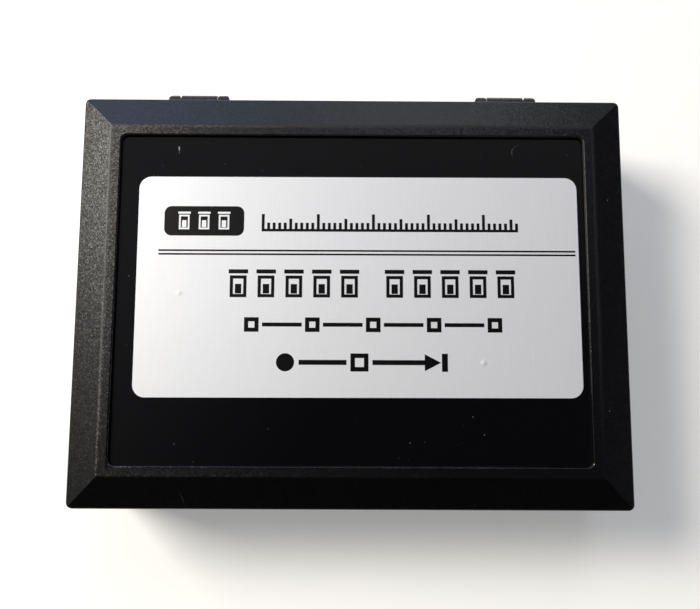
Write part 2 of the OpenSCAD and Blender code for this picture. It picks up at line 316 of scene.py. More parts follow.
shellSettings = {
    "tones": ("#020203", "#040405"),
    "panelTone": "#0a0a0c",
    "patches": 55.0,  # a metre, of the tones and of touched places: 18 mm each
    "facet": 0.21,  # mm across one facet of the spark-eroded tool's stipple
    "facetTilt": 0.097,  # how far the facets' normals spread
    "facetRough": (0.25, 0.355),  # from a facet's middle to its rim
    "swell": 0.45,  # mm between the broader dips under the stipple
    "swellDepth": 0.012,  # mm
    "ridge": (44.13, 31.63),  # mm from the middle to the worn line on the frame's ridge
    "ridgeWidth": 0.5,  # mm
    "ridgeTilt": 0.7,  # how much further its facets lean, as more of each shows there
    "ridgeRough": (0.56, 0.32),  # behind the first place below, and in front of the second
    "ridgeFade": (-5.0, -31.0),  # mm along Y
    "lip": (42.42, 29.92),  # mm from the middle to the worn edge round the panel
    "lipWidth": 0.35,  # mm
    "lipSharp": 0.56,  # how much its normals turn outwards, as on an edge of a smaller radius
    "lipRough": (0.4, 0.17),
    "lipFade": (8.0, -14.0),
    "panel": ((-42.33, -29.83, 27.0), (42.33, 29.83, 27.75)),  # the sunken panel, polished
    "panelRough": (0.04, 0.1),  # where it is clean and where it was touched
    "inside": ((-48.95, -36.45, 1.9), (48.95, 36.45, 25.3)),  # the cavity and the rims, no stipple
    "insideRough": 0.3,
}

# ABS moulded in a spark-eroded tool: a fine even stipple that breaks a lamp up into soft grey
# sparkle. Its facets are drawn at twice the real 0.1 mm, so that single ones still show.
# The sunken panel's part of the tool was polished, so the same ABS is a dark mirror there.
blackAbs, tree, shader, place = startMaterial("mouldedBlackAbs", "#0d0d0e", IOR=1.53)
panel = insideBox(tree, place, *shellSettings["panel"])
inside = insideBox(tree, place, *shellSettings["inside"])
ridge = alongFrame(tree, place, shellSettings["ridge"], shellSettings["ridgeWidth"])
lip = alongFrame(tree, place, shellSettings["lip"], shellSettings["lipWidth"])
stippled = 1.0
for smooth in (panel, inside):
    inputs = {0: stippled, 1: smooth}
    rest = addNode(tree, "ShaderNodeMath", inputs, operation="SUBTRACT", use_clamp=True)
    stippled = rest.outputs[0]

# each facet leans its own way
cells = {"Vector": place, "Scale": 1 / (shellSettings["facet"] * mm)}
facets = addNode(tree, "ShaderNodeTexVoronoi", cells).outputs
inputs = {0: facets["Color"], 1: (0.5, 0.5, 0.5)}
lean = addNode(tree, "ShaderNodeVectorMath", inputs, operation="SUBTRACT").outputs[0]
inputs = {0: ridge, 1: shellSettings["ridgeTilt"], 2: 1.0}
tilt = addNode(tree, "ShaderNodeMath", inputs, operation="MULTIPLY_ADD").outputs[0]
for factor in (stippled, shellSettings["facetTilt"]):
    tilt = addNode(tree, "ShaderNodeMath", {0: tilt, 1: factor}, operation="MULTIPLY").outputs[0]
inputs = {0: lean, "Scale": tilt}
lean = addNode(tree, "ShaderNodeVectorMath", inputs, operation="SCALE").outputs[0]
inputs = {0: lip, 1: -shellSettings["lipSharp"], 2: 1.0}
flatter = addNode(tree, "ShaderNodeMath", inputs, operation="MULTIPLY_ADD").outputs[0]
flatter = addNode(tree, "ShaderNodeCombineXYZ", {"X": 1.0, "Y": 1.0, "Z": flatter}).outputs[0]
normal = addNode(tree, "ShaderNodeNewGeometry").outputs["Normal"]
for change, operation in ((flatter, "MULTIPLY"), (lean, "ADD"), (None, "NORMALIZE")):
    inputs = {0: normal, 1: change} if change else {0: normal}
    normal = addNode(tree, "ShaderNodeVectorMath", inputs, operation=operation).outputs[0]
dips = {"Vector": place, "Scale": 1 / (shellSettings["swell"] * mm), "Detail": 2.0}
swell = addNode(tree, "ShaderNodeTexNoise", dips).outputs[0]
relief = {
    "Height": swell,
    "Normal": normal,
    "Strength": stippled,
    "Distance": shellSettings["swellDepth"] * mm,
}
bump = addNode(tree, "ShaderNodeBump", relief)
tree.links.new(bump.outputs[0], shader.inputs["Normal"])

patches = {"Vector": place, "Scale": shellSettings["patches"], "Detail": 4.0}
handled = addNode(tree, "ShaderNodeTexNoise", patches).outputs[0]
dark, pale = (toLinear(tone) for tone in shellSettings["tones"])
blend = {0: handled, 6: dark, 7: pale}
tone = addNode(tree, "ShaderNodeMix", blend, data_type="RGBA").outputs[2]
blend = {0: panel, 6: tone, 7: toLinear(shellSettings["panelTone"])}
tone = addNode(tree, "ShaderNodeMix", blend, data_type="RGBA").outputs[2]
tree.links.new(tone, shader.inputs["Base Color"])

# the ridge and the lip are worn: matt at the back, glossier towards the front
alongY = addNode(tree, "ShaderNodeSeparateXYZ", {0: place}).outputs[1]
drivers = {
    # what the roughness follows, and the two places or shares that it runs between
    "facet": (facets["Distance"], (0, 1)),
    "ridge": (alongY, [y * mm for y in shellSettings["ridgeFade"]]),
    "lip": (alongY, [y * mm for y in shellSettings["lipFade"]]),
    "panel": (handled, (0, 1)),
}
rough = {"inside": shellSettings["insideRough"]}
for part, (driver, (start, end)) in drivers.items():
    low, high = shellSettings[part + "Rough"]
    spread = {"Value": driver, "From Min": start, "From Max": end, "To Min": low, "To Max": high}
    rough[part] = addNode(tree, "ShaderNodeMapRange", spread).outputs[0]
shine = rough["facet"]
for part, mask in (("ridge", ridge), ("lip", lip), ("inside", inside), ("panel", panel)):
    shine = addNode(tree, "ShaderNodeMix", {0: mask, 2: shine, 3: rough[part]}).outputs[0]
tree.links.new(shine, shader.inputs["Roughness"])
for name in ("base_shell", "lid_shell"):
    finishAs(nodes[name], blackAbs)
print("shells: grained outside, polished panel")


# the label

labelSettings = {
    "face": 27.35,  # mm, the height of its upper side
    "foil": "#eaebec",
    "tones": ("#e3e5ea", "#edeff3"),
    "metallic": 0.33,
    "roughness": 0.52,
    "brushing": 0.12,  # mm between the brush lines, which run towards the hinges
    "brushLength": 60,  # times as long as they are wide
    "brushDepth": 0.12,  # as a share of the glue bed's unevenness
    "glueBed": 260.0,  # a metre, 4 mm each
    "relief": 0.012,  # mm
    # x, y and radius in mm of trapped air, and how many times the relief it stands up
    "bubbles": ((23.54, -11.67, 0.75, 6.0), (-30.95, 0.58, 0.7, 3.2)),
}

# Matt silver polyester: metallised film under a satin lacquer, so it is bright from the window's
# side, greyer away from it, and shows faint brush lines and a slightly uneven glue bed.
silverFilm, tree, shader, place = startMaterial(
    "mattSilverPolyester",
    labelSettings["foil"],
    Metallic=labelSettings["metallic"],
    Roughness=labelSettings["roughness"],
)
across = 1 / (labelSettings["brushing"] * mm)
stretch = {"Vector": place, "Scale": (across, across / labelSettings["brushLength"], across)}
lines = addNode(tree, "ShaderNodeMapping", stretch).outputs[0]
hairs = {"Vector": lines, "Scale": 1.0, "Detail": 3.0, "Roughness": 0.6}
brush = addNode(tree, "ShaderNodeTexNoise", hairs).outputs[0]
bed = {"Vector": place, "Scale": labelSettings["glueBed"], "Detail": 2.0}
glue = addNode(tree, "ShaderNodeTexNoise", bed).outputs[0]
inputs = {0: brush, 1: labelSettings["brushDepth"], 2: glue}
height = addNode(tree, "ShaderNodeMath", inputs, operation="MULTIPLY_ADD").outputs[0]
for x, y, radius, rise in labelSettings["bubbles"]:
    inputs = {0: place, 1: (x * mm, y * mm, labelSettings["face"] * mm)}
    away = addNode(tree, "ShaderNodeVectorMath", inputs, operation="DISTANCE").outputs["Value"]
    inputs = {"Value": away, "From Min": radius * mm, "From Max": 0.0, "To Max": rise}
    dome = addNode(tree, "ShaderNodeMapRange", inputs, interpolation_type="SMOOTHSTEP").outputs[0]
    height = addNode(tree, "ShaderNodeMath", {0: height, 1: dome}, operation="ADD").outputs[0]
relief = {"Height": height, "Strength": 1.0, "Distance": labelSettings["relief"] * mm}
bump = addNode(tree, "ShaderNodeBump", relief)
tree.links.new(bump.outputs[0], shader.inputs["Normal"])
dark, pale = (toLinear(tone) for tone in labelSettings["tones"])
tone = addNode(tree, "ShaderNodeMix", {0: brush, 6: dark, 7: pale}, data_type="RGBA").outputs[2]
tree.links.new(tone, shader.inputs["Base Color"])
finishAs(nodes["label"], silverFilm)


# the print on it

printSettings = {
    "tones": ("#040404", "#0d0c0c"),
    "mesh": 2500.0,  # a metre, 0.4 mm each, the mottle that the screen leaves
    "ink": 0.02,  # mm of ink
    "turn": 0.11,  # degrees, the label was stuck on by hand
    # left, front, right and back of each flat shape, in mm
    "badge": (-34.0, 11.15, -19.55, 16.6),
    "badgeCorner": 1.3,
    "rules": ((-34.9, 8.29, 40.45, 8.60), (-34.9, 7.61, 40.45, 7.92)),
    "scaleFoot": (-16.35, 11.97, 30.15, 12.45),
}

beamSettings = {  # the light path: lamp, cell, arrow and screen, all in mm
    "middle": -11.7,  # along Y; each pair below is along X
    "half": 1.6,  # half of the depth of the lamp, the cell and the screen
    "lamp": (-13.4, -10.2),
    "lampCorner": 1.59,  # a disc, but for 0.02 mm that keep its points apart
    "rays": ((-9.4, -0.9), (3.7, 13.1)),
    "rayHalf": 0.44,
    "cell": (-0.2, 3.0),
    "cellWall": 0.8,
    "arrow": (13.0, 15.9),
    "arrowHalf": 1.5,
    "screen": (16.05, 17.1),
}

# screen printing ink: near black, a little glossier than the film
printInk, tree, shader, place = startMaterial("screenInk", "#0a0a0a", Roughness=0.24)
mottle = {"Vector": place, "Scale": printSettings["mesh"], "Detail": 2.0}
thin = addNode(tree, "ShaderNodeTexNoise", mottle).outputs[0]
dark, pale = (toLinear(tone) for tone in printSettings["tones"])
tone = addNode(tree, "ShaderNodeMix", {0: thin, 6: dark, 7: pale}, data_type="RGBA").outputs[2]
tree.links.new(tone, shader.inputs["Base Color"])


def bar(left, front, right, back):
    return [(left, front), (right, front), (right, back), (left, back)]


def ringOf(left, front, right, back, wall):  # four bars round a window
    return [
        bar(left, front, right, front + wall),
        bar(left, back - wall, right, back),
        bar(left, front + wall, left + wall, back - wall),
        bar(right - wall, front + wall, right, back - wall),
    ]


def roundBar(left, front, right, back, r, steps=8):
    points = []
    for x, y, start in (
        (right - r, back - r, 0),
        (left + r, back - r, 90),
        (left + r, front + r, 180),
        (right - r, front + r, 270),
    ):
        for i in range(steps + 1):
            a = math.radians(start + 90 * i / steps)
            points.append((x + r * math.cos(a), y + r * math.sin(a)))
    return points


def printMesh(name, shapes):  # flat shapes as thin raised ink
    low, high = labelSettings["face"] * mm, (labelSettings["face"] + printSettings["ink"]) * mm
    build = bmesh.new()
    for shape in shapes:
        under = [build.verts.new((x * mm, y * mm, low)) for x, y in shape]
        over = [build.verts.new((x * mm, y * mm, high)) for x, y in shape]
        build.faces.new(over)
        build.faces.new(under[::-1])
        for i in range(len(shape)):
            j = (i + 1) % len(shape)
            build.faces.new((under[i], under[j], over[j], over[i]))
    mesh = bpy.data.meshes.new(name)
    build.to_mesh(mesh)
    return mesh


def layOn(name, mesh, material=None):  # turned with the label, and carried by the lid
    mesh.transform(Matrix.Rotation(math.radians(printSettings["turn"]), 4, "Z"))
    addPiece(name, mesh, "lid", material)


shapes = [roundBar(*printSettings["badge"], printSettings["badgeCorner"])]
shapes += [bar(*rule) for rule in printSettings["rules"]]
middle, ray, arrow = (beamSettings[key] for key in ("middle", "rayHalf", "arrowHalf"))
front, back = middle - beamSettings["half"], middle + beamSettings["half"]
left, right = beamSettings["lamp"]
shapes += [roundBar(left, front, right, back, beamSettings["lampCorner"], 10)]
for left, right in beamSettings["rays"]:
    shapes += [bar(left, middle - ray, right, middle + ray)]
left, right = beamSettings["cell"]
shapes += ringOf(left, front, right, back, beamSettings["cellWall"])  # the cell from above
left, right = beamSettings["arrow"]
shapes += [[(left, middle - arrow), (right, middle), (left, middle + arrow)]]
left, right = beamSettings["screen"]
shapes += [bar(left, front, right, back)]
layOn("label_print", printMesh("label_print", shapes), printInk)

faceHigh, inkHigh = labelSettings["face"] * mm, printSettings["ink"] * mm
scaleSettings = {
    "Tick Count": 47,
    "Pitch": 1.0 * mm,
    "Tick Width": 0.52 * mm,
    "Short": 1.15 * mm,
    "Middle": 1.9 * mm,  # every fifth
    "Long": 2.75 * mm,  # every tenth
    "Ink": inkHigh,
    "Start": (-16.1 * mm, 12.45 * mm, faceHigh),
}

tree, sizes = startTree("millimetreScale", scaleSettings)
step = addNode(tree, "ShaderNodeCombineXYZ", {"X": sizes["Pitch"]}).outputs[0]
line = {"Count": sizes["Tick Count"], "Start Location": sizes["Start"], "Offset": step}
row = addNode(tree, "GeometryNodeMeshLine", line).outputs[0]
index = addNode(tree, "GeometryNodeInputIndex").outputs[0]
height = sizes["Short"]
for each, longer in ((5, "Middle"), (10, "Long")):
    inputs = {0: index, 1: each}
    over = addNode(tree, "FunctionNodeIntegerMath", inputs, operation="MODULO").outputs[0]
    isNth = addNode(
        tree, "FunctionNodeCompare", {2: over, 3: 0}, data_type="INT", operation="EQUAL"
    ).outputs[0]
    inputs = {0: isNth, 1: height, 2: sizes[longer]}
    height = addNode(tree, "GeometryNodeSwitch", inputs, input_type="FLOAT").outputs[0]
inputs = {"X": sizes["Tick Width"], "Y": height, "Z": sizes["Ink"]}
tick = addNode(tree, "ShaderNodeCombineXYZ", inputs).outputs[0]
inputs = {0: tick, 1: (0.0, 0.5, 0.5)}  # from its middle to the middle of its foot
halfUp = addNode(tree, "ShaderNodeVectorMath", inputs, operation="MULTIPLY").outputs[0]
raised = addNode(tree, "GeometryNodeSetPosition", {"Geometry": row, "Offset": halfUp}).outputs[0]
block = addNode(tree, "GeometryNodeMeshCube", {"Size": (1.0, 1.0, 1.0)}).outputs[0]
spots = {"Points": raised, "Instance": block, "Scale": tick}
ticks = addNode(tree, "GeometryNodeInstanceOnPoints", spots).outputs[0]
endTree(tree, ticks, printInk)
layOn("label_scale", growMesh(tree, scaleSettings))
foot = [bar(*printSettings["scaleFoot"])]
layOn("label_scale_foot", printMesh("label_scale_foot", foot), printInk)


def pressInk(tree, boxes, ink):  # flat rectangles one in another, filled and given the ink's height
    curves = []
    for width, height, middle in boxes:
        size = {"Width": width, "Height": height}
        curve = addNode(tree, "GeometryNodeCurvePrimitiveQuadrilateral", size).outputs[0]
        move = {"Geometry": curve, "Translation": middle}
        curves.append(addNode(tree, "GeometryNodeTransform", move).outputs[0])
    outlines = addNode(tree, "GeometryNodeJoinGeometry", {0: curves}).outputs[0]
    flat = addNode(tree, "GeometryNodeFillCurve", {"Curve": outlines}).outputs[0]
    up = addNode(tree, "ShaderNodeCombineXYZ", {"Z": 1.0}).outputs[0]
    lift = {"Mesh": flat, "Offset": up, "Offset Scale": ink, "Individual": False}
    raised = addNode(tree, "GeometryNodeExtrudeMesh", lift).outputs[0]
    under = addNode(tree, "GeometryNodeFlipFaces", {"Mesh": flat}).outputs[0]
    closed = addNode(tree, "GeometryNodeJoinGeometry", {0: [raised, under]}).outputs[0]
    merge = {"Geometry": closed, "Distance": weld}
    return addNode(tree, "GeometryNodeMergeByDistance", merge).outputs[0]


windowSettings = {
    "Window Count": 5,
    "Pitch": 10.875 * mm,
    "Side": 2.6 * mm,
    "Frame": 0.74 * mm,
    "Ink": inkHigh,
    "Start": (-17.9 * mm, -4.98 * mm, faceHigh),
}

tree, sizes = startTree("clearWindows", windowSettings)
inputs = {0: sizes["Frame"], 1: -2.0, 2: sizes["Side"]}
hole = addNode(tree, "ShaderNodeMath", inputs, operation="MULTIPLY_ADD").outputs[0]
centre = (0.0, 0.0, 0.0)
boxes = [(side, side, centre) for side in (sizes["Side"], hole)]
step = addNode(tree, "ShaderNodeCombineXYZ", {"X": sizes["Pitch"]}).outputs[0]
line = {"Count": sizes["Window Count"], "Start Location": sizes["Start"], "Offset": step}
row = addNode(tree, "GeometryNodeMeshLine", line).outputs[0]
spots = {"Points": row, "Instance": pressInk(tree, boxes, sizes["Ink"])}
windows = addNode(tree, "GeometryNodeInstanceOnPoints", spots).outputs[0]
endTree(tree, windows, printInk)
layOn("label_windows", growMesh(tree, windowSettings))


def cellRow(name, settings, material):  # upright cells, each a wall round its filling, under a cap
    tree, sizes = startTree(name, settings)
    inputs = {0: sizes["Cell"], 1: sizes["Wall"]}
    inner = addNode(tree, "ShaderNodeVectorMath", inputs, operation="SUBTRACT").outputs[0]
    inputs = {0: inner, 1: sizes["Fill Share"]}
    fill = addNode(tree, "ShaderNodeVectorMath", inputs, operation="MULTIPLY").outputs[0]
    cell, inner, fill, cap = (
        addNode(tree, "ShaderNodeSeparateXYZ", {0: span}).outputs
        for span in (sizes["Cell"], inner, fill, sizes["Cap"])
    )
    inputs = {0: fill[1], 1: inner[1]}
    room = addNode(tree, "ShaderNodeMath", inputs, operation="SUBTRACT").outputs[0]
    inputs = {0: room, 1: sizes["Fill Sink"]}
    sink = addNode(tree, "ShaderNodeMath", inputs, operation="MULTIPLY").outputs[0]
    inputs = {0: cell[1], 1: 0.5, 2: cap[1]}
    rise = addNode(tree, "ShaderNodeMath", inputs, operation="MULTIPLY_ADD").outputs[0]
    centre = (0.0, 0.0, 0.0)
    low = addNode(tree, "ShaderNodeCombineXYZ", {"Y": sink}).outputs[0]
    high = addNode(tree, "ShaderNodeCombineXYZ", {"Y": rise}).outputs[0]
    boxes = ((cell, centre), (inner, centre), (fill, low), (cap, high))
    glyph = pressInk(tree, [(span[0], span[1], spot) for span, spot in boxes], sizes["Ink"])
    step = addNode(tree, "ShaderNodeCombineXYZ", {"X": sizes["Pitch"]}).outputs[0]
    line = {"Count": sizes["Cell Count"], "Start Location": sizes["Start"], "Offset": step}
    row = addNode(tree, "GeometryNodeMeshLine", line).outputs[0]
    index = addNode(tree, "GeometryNodeInputIndex").outputs[0]
    inputs = {2: index, 3: sizes["First Group"]}
    second = addNode(
        tree, "FunctionNodeCompare", inputs, data_type="INT", operation="GREATER_EQUAL"
    ).outputs[0]
    inputs = {0: second, 1: sizes["Group Gap"]}
    apart = addNode(tree, "ShaderNodeMath", inputs, operation="MULTIPLY").outputs[0]
    shift = addNode(tree, "ShaderNodeCombineXYZ", {"X": apart}).outputs[0]
    inputs = {"Geometry": row, "Offset": shift}
    spread = addNode(tree, "GeometryNodeSetPosition", inputs).outputs[0]
    spots = {"Points": spread, "Instance": glyph}
    cells = addNode(tree, "GeometryNodeInstanceOnPoints", spots).outputs[0]
    endTree(tree, cells, material)
    return growMesh(tree, settings)


cellSettings = {
    "Cell Count": 10,
    "First Group": 5,
    "Group Gap": 3.1 * mm,
    "Pitch": 5.0 * mm,
    "Cell": (3.0 * mm, 3.95 * mm, 0.0),
    "Wall": (1.16 * mm, 1.16 * mm, 0.0),  # both sides together
    "Fill Share": (0.62, 0.62, 0.0),
    "Fill Sink": 0.4,  # how far down the filling sits, as a share of its free room
    "Cap": (3.5 * mm, 0.74 * mm, 0.0),
    "Ink": inkHigh,
    "Start": (-20.4 * mm, 1.9 * mm, faceHigh),
}
badgeSettings = cellSettings | {
    "Cell Count": 3,
    "First Group": 3,
    "Pitch": 3.6 * mm,
    "Cell": (1.9 * mm, 2.7 * mm, 0.0),
    "Wall": (0.62 * mm, 0.62 * mm, 0.0),
    "Cap": (2.25 * mm, 0.38 * mm, 0.0),
    "Ink": 0.005 * mm,
    "Start": (-30.4 * mm, 13.65 * mm, faceHigh + inkHigh),
}
layOn("label_cells", cellRow("cellGlyphs", cellSettings, printInk))
layOn("label_badge_cells", cellRow("badgeGlyphs", badgeSettings, silverFilm))

dashSettings = {"clear": 1.9, "half": 0.35}  # mm from a window's middle, and half of its width

dashes = []
pitch = windowSettings["Pitch"] / mm
x, y = (windowSettings["Start"][i] / mm for i in (0, 1))
for i in range(windowSettings["Window Count"] - 1):
    left = x + pitch * i + dashSettings["clear"]
    right = x + pitch * (i + 1) - dashSettings["clear"]
    dashes.append(bar(left, y - dashSettings["half"], right, y + dashSettings["half"]))
layOn("label_dashes", printMesh("label_dashes", dashes), printInk)
print("label: satin film, badge, scale, cells and windows printed")


# dust and scratches on the lid

lidShape = {  # mm, the lid's outside as its solid has it
    "panel": (42.2, 29.7),  # half of the sunken panel
    "panelTop": 27.2,
    "ridge": (44.23, 31.73),  # half of the rectangle inside the sloping frame
    "top": 28,
    "slope": (5.7, 2.2),  # the frame's width, and how far it falls over that
}
wearSettings = {
    # x, y and length in mm of the flecks that show most
    "flecks": (
        (-40.06, 3.63, 0.24),
        (-34.68, 24.09, 0.13),
        (46.76, 18.22, 0.38),
        (28.47, 36.0, 0.22),
        (-14.59, -23.43, 0.18),
        (-30.98, -26.11, 0.27),
        (-27.54, -29.2, 0.16),
        (10.34, -25.74, 0.24),
        (12.97, -25.56, 0.14),
        (23.44, -24.3, 0.24),
        (21.46, -21.18, 0.21),
        (8.4, -28.34, 0.14),
        (45.5, -20.01, 0.34),
        (21.74, -36.4, 0.16),
    ),
    "fleckShape": (1, 0.6, 0.25),  # length, width and height
    "fleckLift": 0.012,  # mm from the lid to its middle
    "fleckTurn": 2.1,  # radians from one to the next
    "crumple": 9000,  # a metre, 0.11 mm each
    "crumpled": (0.75, 0.5),  # shares of its radius: the middle one, and how far it may change
    "crumpleStep": 7.3,  # from one to the next in the crumples, so that no two are alike
    # each mark: how pale it is, its width in mm, then the points that it passes
    "marks": (
        ("pale", 0.23, (-31.80, 27.85), (-31.82, 27.65), (-31.80, 27.25), (-31.79, 26.95)),
        ("dull", 0.12, (-31.79, 27.1), (-31.77, 26.7), (-31.76, 26.35)),
        ("dull", 0.17, (29.42, 26.3), (29.33, 26.9), (29.38, 27.5), (29.75, 28.0)),
        ("dull", 0.08, (29.75, 28.0), (30.25, 28.35), (30.65, 28.65)),
        ("dull", 0.08, (-29.85, -34.3), (-29.4, -35.3), (-28.95, -36.9)),
    ),
    "markLift": 0.006,  # mm
    "markEnd": 0.25,  # its width at both ends, as a share
    "dustTones": ("#6e6e72", "#b4b4b4"),
    "rubbedTones": ("#1a1a1c", "#4a4a4c"),
    "fluff": 9000.0,  # a metre, 0.11 mm each
    "torn": 6000.0,  # a metre, 0.17 mm each
}

# house dust, skin flakes and lint: pale and dull against the black
dust, tree, shader, place = startMaterial("paleDust", "#8f8f92", Roughness=0.95)
lint = {"Vector": place, "Scale": wearSettings["fluff"], "Detail": 2.0}
fluff = addNode(tree, "ShaderNodeTexNoise", lint).outputs[0]
dark, pale = (toLinear(tone) for tone in wearSettings["dustTones"])
tone = addNode(tree, "ShaderNodeMix", {0: fluff, 6: dark, 7: pale}, data_type="RGBA").outputs[2]
tree.links.new(tone, shader.inputs["Base Color"])


def lidHeight(x, y):  # mm, the height of the lid's outside at a place
    if abs(x) < lidShape["panel"][0] and abs(y) < lidShape["panel"][1]:
        return lidShape["panelTop"]
    past = max(abs(x) - lidShape["ridge"][0], abs(y) - lidShape["ridge"][1], 0)
    run, fall = lidShape["slope"]
    return lidShape["top"] - past * fall / run


build = bmesh.new()
for i, (x, y, size) in enumerate(wearSettings["flecks"]):
    flake = bmesh.ops.create_icosphere(build, subdivisions=1, radius=size / 2 * mm)["verts"]
    own = Vector((i * wearSettings["crumpleStep"], 0, 0))
    for vert in flake:
        crumple = noise.noise(vert.co * wearSettings["crumple"] + own)
        vert.co *= wearSettings["crumpled"][0] + wearSettings["crumpled"][1] * crumple
        vert.co *= Vector(wearSettings["fleckShape"])
    turn = Matrix.Rotation(i * wearSettings["fleckTurn"], 3, "Z")
    bmesh.ops.rotate(build, verts=flake, matrix=turn)
    spot = Vector((x, y, lidHeight(x, y) + wearSettings["fleckLift"]))
    bmesh.ops.translate(build, verts=flake, vec=spot * mm)
mesh = bpy.data.meshes.new("dust_flecks")
build.to_mesh(mesh)
addPiece("dust_flecks", mesh, "lid", dust)

strewSettings = {  # fine dust on the sunken panel, but not on the label
    "Panel Width": 84.0 * mm,
    "Panel Depth": 59.0 * mm,
    "Level": 27.205 * mm,
    "Label Middle": (1.2 * mm, 2.1 * mm, 0.0),
    "Label Half": (40.3 * mm, 20.3 * mm, 0.0),
    "Density": 11000.0,  # a square metre
    "Flake": 0.05 * mm,
    "Shape": (1.0, 0.6, 0.2),
    "Smallest": 0.5,
    "Largest": 1.1,
    "Turn": (0.3, 0.3, 6.28),  # radians at most
    "Seed": 11,
}

tree, sizes = startTree("strewnDust", strewSettings)
inputs = {"Size X": sizes["Panel Width"], "Size Y": sizes["Panel Depth"]}
inputs |= {"Vertices X": 2, "Vertices Y": 2}
sheet = addNode(tree, "GeometryNodeMeshGrid", inputs).outputs[0]
strewn = {"Mesh": sheet, "Density": sizes["Density"], "Seed": sizes["Seed"]}
points = addNode(tree, "GeometryNodeDistributePointsOnFaces", strewn).outputs[0]
spot = addNode(tree, "GeometryNodeInputPosition").outputs[0]
inputs = {0: spot, 1: sizes["Label Middle"]}
apart = addNode(tree, "ShaderNodeVectorMath", inputs, operation="SUBTRACT").outputs[0]
apart = addNode(tree, "ShaderNodeVectorMath", {0: apart}, operation="ABSOLUTE").outputs[0]
apart = addNode(tree, "ShaderNodeSeparateXYZ", {0: apart}).outputs
half = addNode(tree, "ShaderNodeSeparateXYZ", {0: sizes["Label Half"]}).outputs
within = []
for i in (0, 1):
    inputs = {0: apart[i], 1: half[i]}
    within.append(addNode(tree, "FunctionNodeCompare", inputs, operation="LESS_THAN").outputs[0])
inputs = {0: within[0], 1: within[1]}
onLabel = addNode(tree, "FunctionNodeBooleanMath", inputs, operation="AND").outputs[0]
inputs = {"Geometry": points, "Selection": onLabel}
bare = addNode(tree, "GeometryNodeDeleteGeometry", inputs, domain="POINT").outputs[0]
lift = addNode(tree, "ShaderNodeCombineXYZ", {"Z": sizes["Level"]}).outputs[0]
resting = addNode(tree, "GeometryNodeSetPosition", {"Geometry": bare, "Offset": lift}).outputs[0]
ball = {"Radius": sizes["Flake"], "Subdivisions": 1}
flake = addNode(tree, "GeometryNodeMeshIcoSphere", ball).outputs[0]
inputs = {"Geometry": flake, "Scale": sizes["Shape"]}
flat = addNode(tree, "GeometryNodeTransform", inputs).outputs[0]
inputs = {0: (0.0, 0.0, 0.0), 1: sizes["Turn"], "Seed": sizes["Seed"]}
turned = addNode(tree, "FunctionNodeRandomValue", inputs, data_type="FLOAT_VECTOR").outputs[0]
inputs = {2: sizes["Smallest"], 3: sizes["Largest"], "Seed": sizes["Seed"]}
grown = addNode(tree, "FunctionNodeRandomValue", inputs, data_type="FLOAT").outputs[1]
spots = {"Points": resting, "Instance": flat, "Rotation": turned, "Scale": grown}
flakes = addNode(tree, "GeometryNodeInstanceOnPoints", spots).outputs[0]
endTree(tree, flakes, dust)
addPiece("dust_strewn", growMesh(tree, strewSettings), "lid")

# ABS that something rubbed: the stipple is torn open and greys
rubbed, tree, shader, place = startMaterial("rubbedAbs", "#2c2c2e", Roughness=0.55)
shreds = {"Vector": place, "Scale": wearSettings["torn"], "Detail": 2.0}
torn = addNode(tree, "ShaderNodeTexNoise", shreds).outputs[0]
dark, pale = (toLinear(tone) for tone in wearSettings["rubbedTones"])
tone = addNode(tree, "ShaderNodeMix", {0: torn, 6: dark, 7: pale}, data_type="RGBA").outputs[2]
tree.links.new(tone, shader.inputs["Base Color"])


def markMesh(name, marks):  # a thin ribbon along each mark, tapered at its ends
    build = bmesh.new()
    for width, *points in marks:
        pairs = []
        last = len(points) - 1
        for i, (x, y) in enumerate(points):
            before, after = Vector(points[max(i - 1, 0)]), Vector(points[min(i + 1, last)])
            run = (after - before).normalized()
            half = width / 2 * (wearSettings["markEnd"] if i in (0, last) else 1)
            z = lidHeight(x, y) + wearSettings["markLift"]
            sides = [Vector((x + s * run.y * half, y - s * run.x * half, z)) for s in (-1, 1)]
            pairs.append([build.verts.new(side * mm) for side in sides])
        for a, b in zip(pairs, pairs[1:]):
            face = build.faces.new((a[0], b[0], b[1], a[1]))
            face.normal_update()
            if face.normal.z < 0:
                face.normal_flip()
    mesh = bpy.data.meshes.new(name)
    build.to_mesh(mesh)
    return mesh


for kind, material in (("pale", dust), ("dull", rubbed)):
    marks = [mark[1:] for mark in wearSettings["marks"] if mark[0] == kind]
    name = "lid_marks_" + kind
    addPiece(name, markMesh(name, marks), "lid", material)
print("lid: dust and scratches are on")


# the three foam pads, each cut from its own solid

foamSettings = {
    "bodies": {"foam_floor_pad": "base", "foam_slot_block": "base", "foam_lid_pad": "lid"},
    "voxel": {"foam_floor_pad": 0.9, "foam_slot_block": 0.62, "foam_lid_pad": 0.75},  # mm
    "relax": (0.5, 2),  # how far and how often its edges are eased
    "skin": 0.10,  # mm that the foam stays inside its full size
    "uneven": 0.09,  # mm
    "lumps": 0.35,  # a mm, 3 mm each
    "waist": 0.22,  # mm that a die-cut wall draws in half way down
    "fill": 0.95,
    "cell": 0.9,  # mm across a cell
    "cellRim": 0.22,  # as a share of the cell
    "cellDepth": 0.2,  # mm
    # the hollow of each cell, darker as painted shade, then its rim
    "tones": ("#101012", "#3e3f43"),
}
